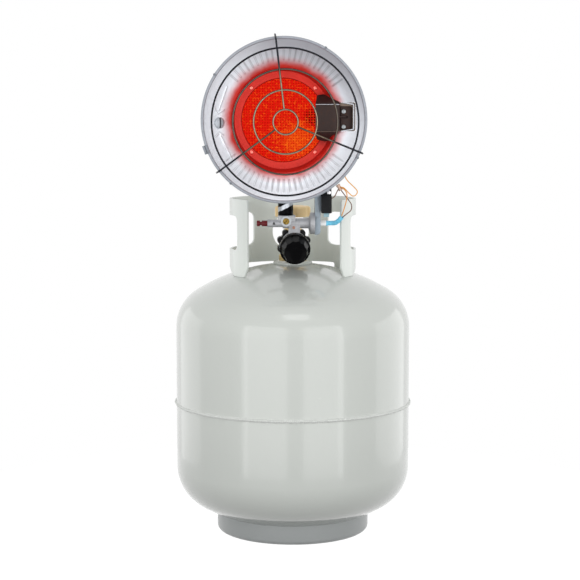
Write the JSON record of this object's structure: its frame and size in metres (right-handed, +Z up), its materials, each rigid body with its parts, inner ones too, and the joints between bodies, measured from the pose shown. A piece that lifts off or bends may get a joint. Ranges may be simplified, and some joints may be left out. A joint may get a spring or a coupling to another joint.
{
  "type": "portable propane heater",
  "caption": "Radiant gas heater with a round reflector and wire guard, standing on the valve of its refillable propane cylinder.",
  "frame": {"origin": "centre of the foot ring's underside, on the floor", "axes": "+Z up along the cylinder's axis, -Y towards the front, the way the reflector faces, +X to the right seen from the front"},
  "size_m": [0.3144, 0.3144, 0.6531],
  "materials": {
    "tank_paint": "grey-white gloss enamel",
    "foot_paint": "grey enamel",
    "valve_brass": "cast and turned brass",
    "bare_steel": "bare steel",
    "plated_screw": "zinc-plated steel",
    "copper_screw": "copper-plated steel",
    "wheel_plastic": "moulded tan plastic",
    "float_plastic": "foamed plastic",
    "black_plastic": "moulded black plastic",
    "red_button": "dark red anodised",
    "rubber_black": "nitrile rubber",
    "die_cast": "die-cast zinc alloy",
    "magnet_steel": "nickel-plated steel",
    "bracket_steel": "galvanised steel",
    "mixer_steel": "aluminised steel tube",
    "cup_steel": "aluminised steel sheet",
    "dish_steel": "bright pressed sheet",
    "emitter": "perforated steel, glowing",
    "guard_chrome": "plated wire",
    "shield_steel": "heat-tinted steel sheet",
    "pocket_steel": "heat-tinted bright sheet",
    "connector_nylon": "white nylon",
    "sleeve_blue": "pale blue shrink tube",
    "crimp_nylon": "insulated crimp",
    "wire_brown": "brown insulation",
    "wire_orange": "orange insulation",
    "wire_tan": "tan glass-braid insulation"
  },
  "bodies": {
    "heater": {"tank_upper_shell": "tank_paint", "tank_lower_shell": "tank_paint", "seam_weld": "tank_paint", "collar": "tank_paint", "valve_boss": "tank_paint", "foot_ring": "foot_paint", "valve_body": "valve_brass", "packing_nut": "valve_brass", "relief_valve": "valve_brass", "outlet_plug": "valve_brass", "inlet_nipple": "valve_brass", "gas_orifice": "valve_brass", "dip_tube": "bare_steel", "float_bracket": "bare_steel", "regulator_spring": "bare_steel", "button_spring": "bare_steel", "switch_terminals": "bare_steel", "thermocouple": "bare_steel", "shield_screws": "plated_screw", "bracket_screws": "plated_screw", "switch_screw": "plated_screw", "dish_rivets": "plated_screw", "neck_screw": "copper_screw", "tip_switch": "black_plastic", "nipple_o_ring": "rubber_black", "regulator_diaphragm": "rubber_black", "heater_valve_body": "die_cast", "regulator_bonnet": "die_cast", "magnet_unit": "magnet_steel", "mounting_bracket": "bracket_steel", "mixer_tube": "mixer_steel", "burner_cup": "cup_steel", "reflector_dish": "dish_steel", "emitter_screen": "emitter", "guard_hub_ring": "guard_chrome", "guard_inner_ring": "guard_chrome", "guard_middle_ring": "guard_chrome", "guard_outer_ring": "guard_chrome", "guard_spokes": "guard_chrome", "rim_clips": "guard_chrome", "thermocouple_shield": "shield_steel", "sensor_pocket": "pocket_steel", "lead_connector": "connector_nylon", "lead_sleeve": "sleeve_blue", "lead_crimp": "crimp_nylon", "supply_wire": "wire_brown", "return_wire": "wire_orange", "sensor_wire": "wire_tan"},
    "tank_valve_wheel": {"valve_handwheel": "wheel_plastic", "handwheel_screw": "plated_screw", "valve_stem": "valve_brass"},
    "connector_nut": {"connector_nut": "black_plastic"},
    "heat_knob": {"heat_knob": "black_plastic", "adjusting_screw": "bare_steel"},
    "start_button": {"start_button": "red_button", "button_stem": "bare_steel", "safety_seat": "rubber_black"},
    "overfill_float": {"overfill_float": "float_plastic"},
    "bleed_screw": {"bleed_screw": "valve_brass"}
  },
  "joints": [
    {"name": "tank_valve_turn", "type": "hinge", "parent": "heater", "child": "tank_valve_wheel", "pos_m": [0, 0, 0.419], "axis": [0, 0, 1], "range_deg": [0, 630]},
    {"name": "connector_nut_turn", "type": "hinge", "parent": "heater", "child": "connector_nut", "pos_m": [0, -0.03, 0.385], "axis": [0, -1, 0], "range_deg": [0, 1620]},
    {"name": "heat_knob_turn", "type": "hinge", "parent": "heater", "child": "heat_knob", "pos_m": [0, -0.06, 0.385], "axis": [0, -0.9863, -0.165], "range_deg": [0, 270]},
    {"name": "start_button_push", "type": "slide", "parent": "heater", "child": "start_button", "axis": [1, 0, 0], "range_m": [0, 0.005], "stiffness_N_per_m": 400, "springref_m": -0.002, "deforming": ["button_spring"]},
    {"name": "overfill_float_swing", "type": "hinge", "parent": "heater", "child": "overfill_float", "pos_m": [0, 0.015, 0.325], "axis": [1, 0, 0], "range_deg": [0, 45]},
    {"name": "bleed_screw_turn", "type": "hinge", "parent": "heater", "child": "bleed_screw", "pos_m": [0.0193, 0, 0.377], "axis": [1, 0, 0], "range_deg": [0, 270]}
  ]
}
